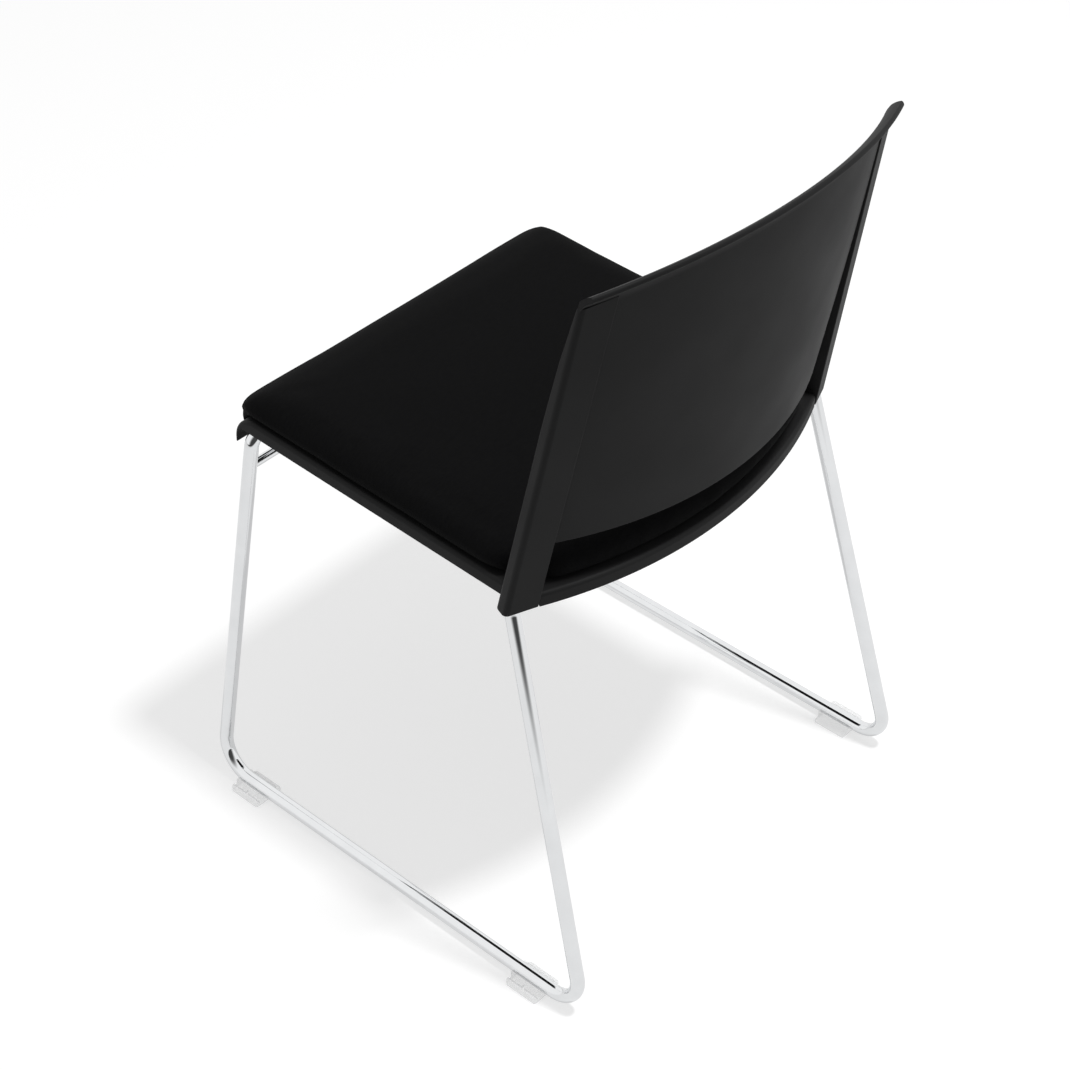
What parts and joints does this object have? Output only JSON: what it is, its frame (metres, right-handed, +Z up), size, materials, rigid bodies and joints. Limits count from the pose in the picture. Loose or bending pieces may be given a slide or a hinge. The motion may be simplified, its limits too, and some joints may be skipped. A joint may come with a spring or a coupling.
{
  "type": "visitor chair",
  "caption": "Armless visitor chair: bent chrome rod sled base with clear glides, black curved plastic back on two posts, and a padded seat with a rolled front edge.",
  "frame": {"origin": "on the floor, under the middle of the sled base", "axes": "+Z up; the sitter faces -Y; +X is the sitter's left"},
  "size_m": [0.516, 0.5013, 0.7829],
  "materials": {
    "chrome_rod": "bright chrome plating on steel rod",
    "black_plastic": "fine matte black moulding",
    "black_fabric": "matte black upholstery over foam",
    "board": "raw plywood, hidden",
    "screw_steel": "zinc plated",
    "clear_plastic": "clear moulded plastic"
  },
  "bodies": {
    "root": {"back_screw_left": "screw_steel", "back_screw_right": "screw_steel", "back_shell": "black_plastic", "front_cross_bar": "chrome_rod", "front_seat_bar": "chrome_rod", "glide_front_left": "clear_plastic", "glide_front_right": "clear_plastic", "glide_rear_left": "clear_plastic", "glide_rear_right": "clear_plastic", "pad_screw_front_left": "screw_steel", "pad_screw_front_right": "screw_steel", "pad_screw_rear_left": "screw_steel", "pad_screw_rear_right": "screw_steel", "rear_seat_bar": "chrome_rod", "seat_board": "board", "seat_cushion": "black_fabric", "seat_screw_front_left": "screw_steel", "seat_screw_front_right": "screw_steel", "seat_screw_rear_left": "screw_steel", "seat_screw_rear_right": "screw_steel", "seat_shell": "black_plastic", "seat_tab_front_left": "chrome_rod", "seat_tab_front_right": "chrome_rod", "seat_tab_rear_left": "chrome_rod", "seat_tab_rear_right": "chrome_rod", "side_frame_left": "chrome_rod", "side_frame_right": "chrome_rod"}
  },
  "joints": []
}
